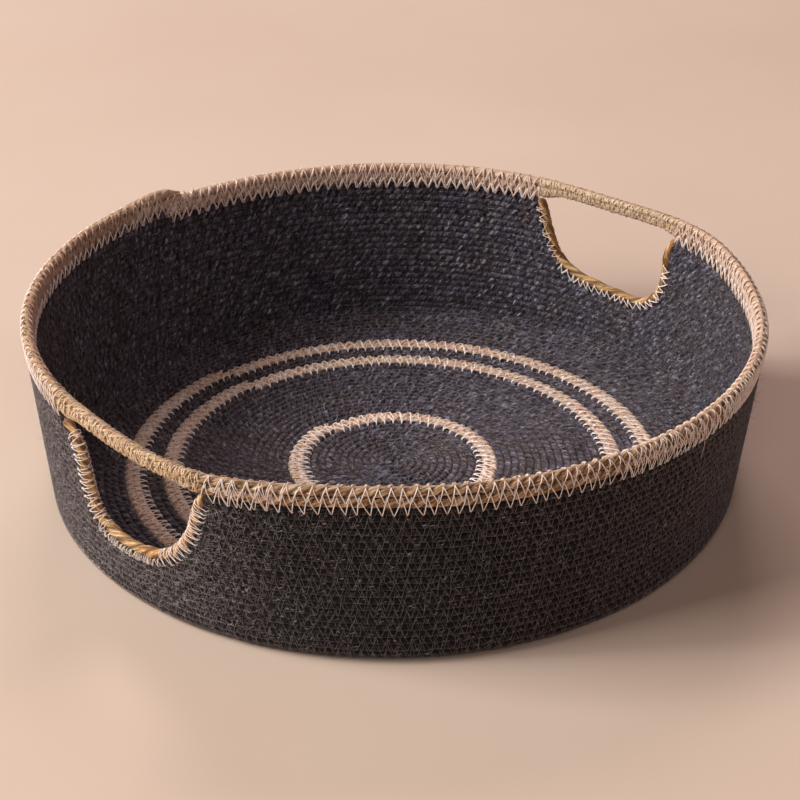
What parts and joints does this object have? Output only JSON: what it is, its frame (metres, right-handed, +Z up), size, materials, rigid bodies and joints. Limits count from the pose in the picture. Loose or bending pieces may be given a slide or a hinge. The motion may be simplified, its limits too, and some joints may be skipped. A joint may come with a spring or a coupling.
{
  "type": "seagrass bowl",
  "caption": "Shallow round bowl of coiled, machine-sewn seagrass cord, dark with a pale cord rim and pale rings, and a handle opening through the wall at each side.",
  "frame": {"origin": "middle of the bowl's box, on the surface that its flat base stands on", "axes": "+Z up, with the two handle openings towards +X and -X"},
  "size_m": [0.3804, 0.3794, 0.1002],
  "materials": {
    "dyed_seagrass_cord": "matte",
    "natural_seagrass_cord": "matte",
    "dark_sewing_thread": "matte",
    "pale_sewing_thread": "matte"
  },
  "bodies": {
    "root": {"base_center_coil": "dyed_seagrass_cord", "base_inner_ring": "natural_seagrass_cord", "base_middle_coil": "dyed_seagrass_cord", "base_second_ring": "natural_seagrass_cord", "base_gap_coil": "dyed_seagrass_cord", "base_outer_ring": "natural_seagrass_cord", "base_outer_coil": "dyed_seagrass_cord", "wall_foot_coil": "dyed_seagrass_cord", "wall_lower_coil": "dyed_seagrass_cord", "wall_front_coil": "dyed_seagrass_cord", "wall_rear_coil": "dyed_seagrass_cord", "rim_cord": "natural_seagrass_cord", "right_opening_trim": "natural_seagrass_cord", "left_opening_trim": "natural_seagrass_cord"}
  },
  "joints": []
}
